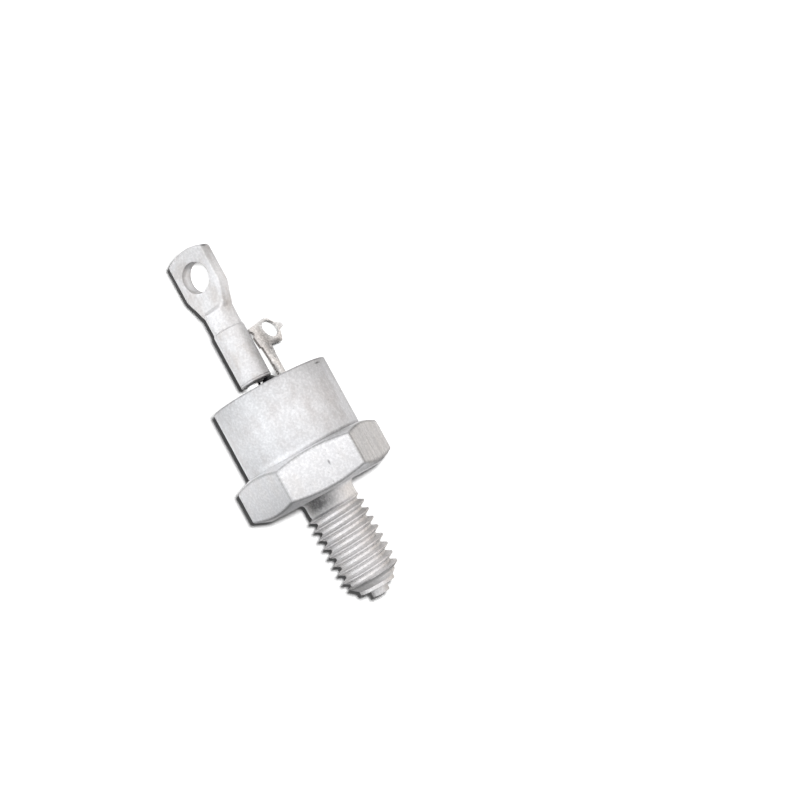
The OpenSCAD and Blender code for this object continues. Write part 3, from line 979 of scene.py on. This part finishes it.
NODE_FINISHES = {
    "stud_base": plated_base,
    "case_can": plated_can,
    "header_ring": header_steel,
    "glass_seal": dark_glass,
    "cathode_post": tinned_post,
    "cathode_lug": plated_lug,
    "gate_terminal": plated_gate,
    "base_solder": solder,
    "lower_disc": contact_metal,
    "silicon_pellet": silicon,
    "junction_coat": silicone,
    "cathode_solder": solder,
    "cathode_disc": contact_metal,
    "cathode_lead": copper,
    "gate_lead": header_steel,
}
for name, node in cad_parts.items():
    node.data.materials.clear()
    node.data.materials.append(NODE_FINISHES[name])


# Floor, light and camera
FLOOR_Z = -HEX_APOTHEM

# Key lamp: its place and aim, its height above the floor, its width in millimetres and its power
KEY_PLACE = (4.6, 1.8, 110)
KEY_AIM = (4.6, -5, FLOOR_Z)
KEY_HEIGHT = KEY_PLACE[2] - FLOOR_Z
KEY_SIZE = 7
KEY_WATTS = 0.13

# Floor: half its width, its gain to the camera, and its ramps along and across the part in reflections
FLOOR_HALF = 3000
FLOOR_GAIN = 1.1
FLOOR_ALONG = (-12, 8, 0.3, 1.4)
FLOOR_ACROSS = (1, -6)
FLOOR_RIGHT = 1.2

# Places and sizes of spots on the floor that glow to the camera, where holes and gaps show white ground
GLOW_SPOTS = [
    ((27.1, 0.33, FLOOR_Z), (2.0, 2.0, 1)),
    ((18.6, -3.7, FLOOR_Z), (1.4, 1.4, 1)),
    ((16.4, -1.8, FLOOR_Z), (3.2, 0.8, 1)),
    ((13.45, 0.7, FLOOR_Z), (1.0, 1.6, 1)),
]
SPOT_EDGE = (0, 0.5)

# Dome: strength in reflections and as a fill, colours from right to left, and ramps by direction
OVERHEAD = 1.95
FILL = 0.1
DOME_RIGHT = (0.66, 0.63, 0.61, 1)
DOME_MIDDLE = (0.85, 0.84, 0.84, 1)
DOME_LEFT = (0.98, 0.99, 1, 1)
DOME_MIDDLE_AT = 0.3
DOME_ALONG = (-0.7, 0.25)
DOME_AT_STUD = (0.3, -0.4, 0.25 * OVERHEAD, 0.5 * OVERHEAD)
WHITE = (1, 1, 1, 1)

# Camera: its lens and sensor in millimetres, its place, what it aims at, and the right of the picture
LENS = 48.336
SENSOR = 36
CLIP_START = 5
CAMERA_PLACE = (1.56, 9.86, 110.29)
CAMERA_AIM = (4.654, -11.32, 0)
CAMERA_RIGHT = (-0.48085, -0.86347, 0.15233)


def make_floor_finish():
    """White to the camera, with spots that glow in the shadow; in reflections darker towards the stud."""
    material = bpy.data.materials.new("pale_floor")
    material.use_nodes = True
    tree = material.node_tree
    place = add_place(tree)
    axes = add_split(tree, place)
    path = add_node(tree, "ShaderNodeLightPath").outputs
    left = add_range(tree, axes["X"], *FLOOR_ALONG)
    mirrored = add_range(tree, axes["Y"], *FLOOR_ACROSS, left, FLOOR_RIGHT)
    first_bounce = add_range(tree, path["Diffuse Depth"], 0, 1, 1, 0)
    to_others = add_product(tree, mirrored, first_bounce)
    # On a flat floor the lamp's light falls off with the fourth power of the distance, which this evens out
    span = add_vector(tree, "DISTANCE", place, KEY_PLACE)["Value"]
    spread = add_math(tree, "POWER", add_math(tree, "DIVIDE", span, KEY_HEIGHT), 4)
    to_camera = add_product(tree, spread, FLOOR_GAIN)
    spots = 0
    for middle, size in GLOW_SPOTS:
        spots = add_math(tree, "MAXIMUM", spots, add_mark(tree, place, middle, size))
    glow = add_product(tree, path["Is Camera Ray"], add_range(tree, spots, *SPOT_EDGE))
    shader = tree.nodes["Principled BSDF"].inputs
    shader["Roughness"].default_value = 1
    shader["Specular IOR Level"].default_value = 0
    shader["Emission Strength"].default_value = 1
    tree.links.new(glow, shader["Emission Color"])
    tree.links.new(add_range(tree, path["Is Camera Ray"], 0, 1, to_others, to_camera), shader["Base Color"])
    return material


def make_floor():
    """A plain floor under the lowest flat of the hex."""
    bm = bmesh.new()
    bmesh.ops.create_grid(bm, x_segments=1, y_segments=1, size=FLOOR_HALF * MM)
    bmesh.ops.translate(bm, verts=bm.verts, vec=(0, 0, cad_box[0].z))
    mesh = bpy.data.meshes.new("floor")
    bm.to_mesh(mesh)
    bm.free()
    mesh.materials.append(make_floor_finish())
    floor = bpy.data.objects.new("floor", mesh)
    bpy.context.scene.collection.objects.link(floor)


def make_world():
    """White to the camera, a weak fill, and in reflections a dome, dimmer at the stud and on the right."""
    world = bpy.data.worlds.new("studio")
    bpy.context.scene.world = world
    world.use_nodes = True
    tree = world.node_tree
    direction = add_split(tree, add_node(tree, "ShaderNodeTexCoord").outputs["Generated"])
    side = add_node(tree, "ShaderNodeValToRGB")
    colours = side.color_ramp.elements
    colours[0].color = DOME_RIGHT
    colours[1].color = DOME_LEFT
    colours.new(DOME_MIDDLE_AT).color = DOME_MIDDLE
    tree.links.new(add_range(tree, direction["Y"], -1, 1), side.inputs["Fac"])
    at_stud = add_range(tree, direction["Y"], *DOME_AT_STUD)
    dome = add_range(tree, direction["X"], *DOME_ALONG, at_stud, OVERHEAD)
    path = add_node(tree, "ShaderNodeLightPath").outputs
    shiny = add_math(tree, "MAXIMUM", path["Is Glossy Ray"], path["Is Transmission Ray"])
    first_bounce = add_range(tree, path["Diffuse Depth"], 0, 1, 1, 0)
    level = add_range(tree, add_product(tree, shiny, first_bounce), 0, 1, FILL, dome)
    seen = path["Is Camera Ray"]
    background = tree.nodes["Background"].inputs
    tree.links.new(add_mix(tree, seen, side.outputs["Color"], WHITE), background["Color"])
    tree.links.new(add_math(tree, "MAXIMUM", seen, level), background["Strength"])


def make_lamp():
    """A small round lamp for the floor and its shadow; reflections show only the dome and the floor."""
    lamp = bpy.data.lights.new("key", "AREA")
    lamp.shape = "DISK"
    lamp.size = KEY_SIZE * MM
    lamp.energy = KEY_WATTS
    holder = bpy.data.objects.new("key", lamp)
    holder.location = Vector(KEY_PLACE) * MM
    holder.rotation_euler = (Vector(KEY_AIM) - Vector(KEY_PLACE)).to_track_quat("-Z", "Y").to_euler()
    holder.visible_glossy = False
    bpy.context.scene.collection.objects.link(holder)


def make_camera():
    """Stands where the photograph was taken: almost straight above, with the part left of the middle."""
    data = bpy.data.cameras.new("camera")
    data.lens = LENS
    data.sensor_width = SENSOR
    data.clip_start = CLIP_START * MM
    camera = bpy.data.objects.new("camera", data)
    place = Vector(CAMERA_PLACE) * MM
    back = (place - Vector(CAMERA_AIM) * MM).normalized()
    right = Vector(CAMERA_RIGHT)
    right = (right - back * right.dot(back)).normalized()
    turn = Matrix((right, back.cross(right), back)).transposed()
    camera.matrix_world = Matrix.Translation(place) @ turn.to_4x4()
    bpy.context.scene.collection.objects.link(camera)
    bpy.context.scene.camera = camera


make_floor()
make_world()
make_lamp()
make_camera()
bpy.context.scene.view_settings.view_transform = "Standard"
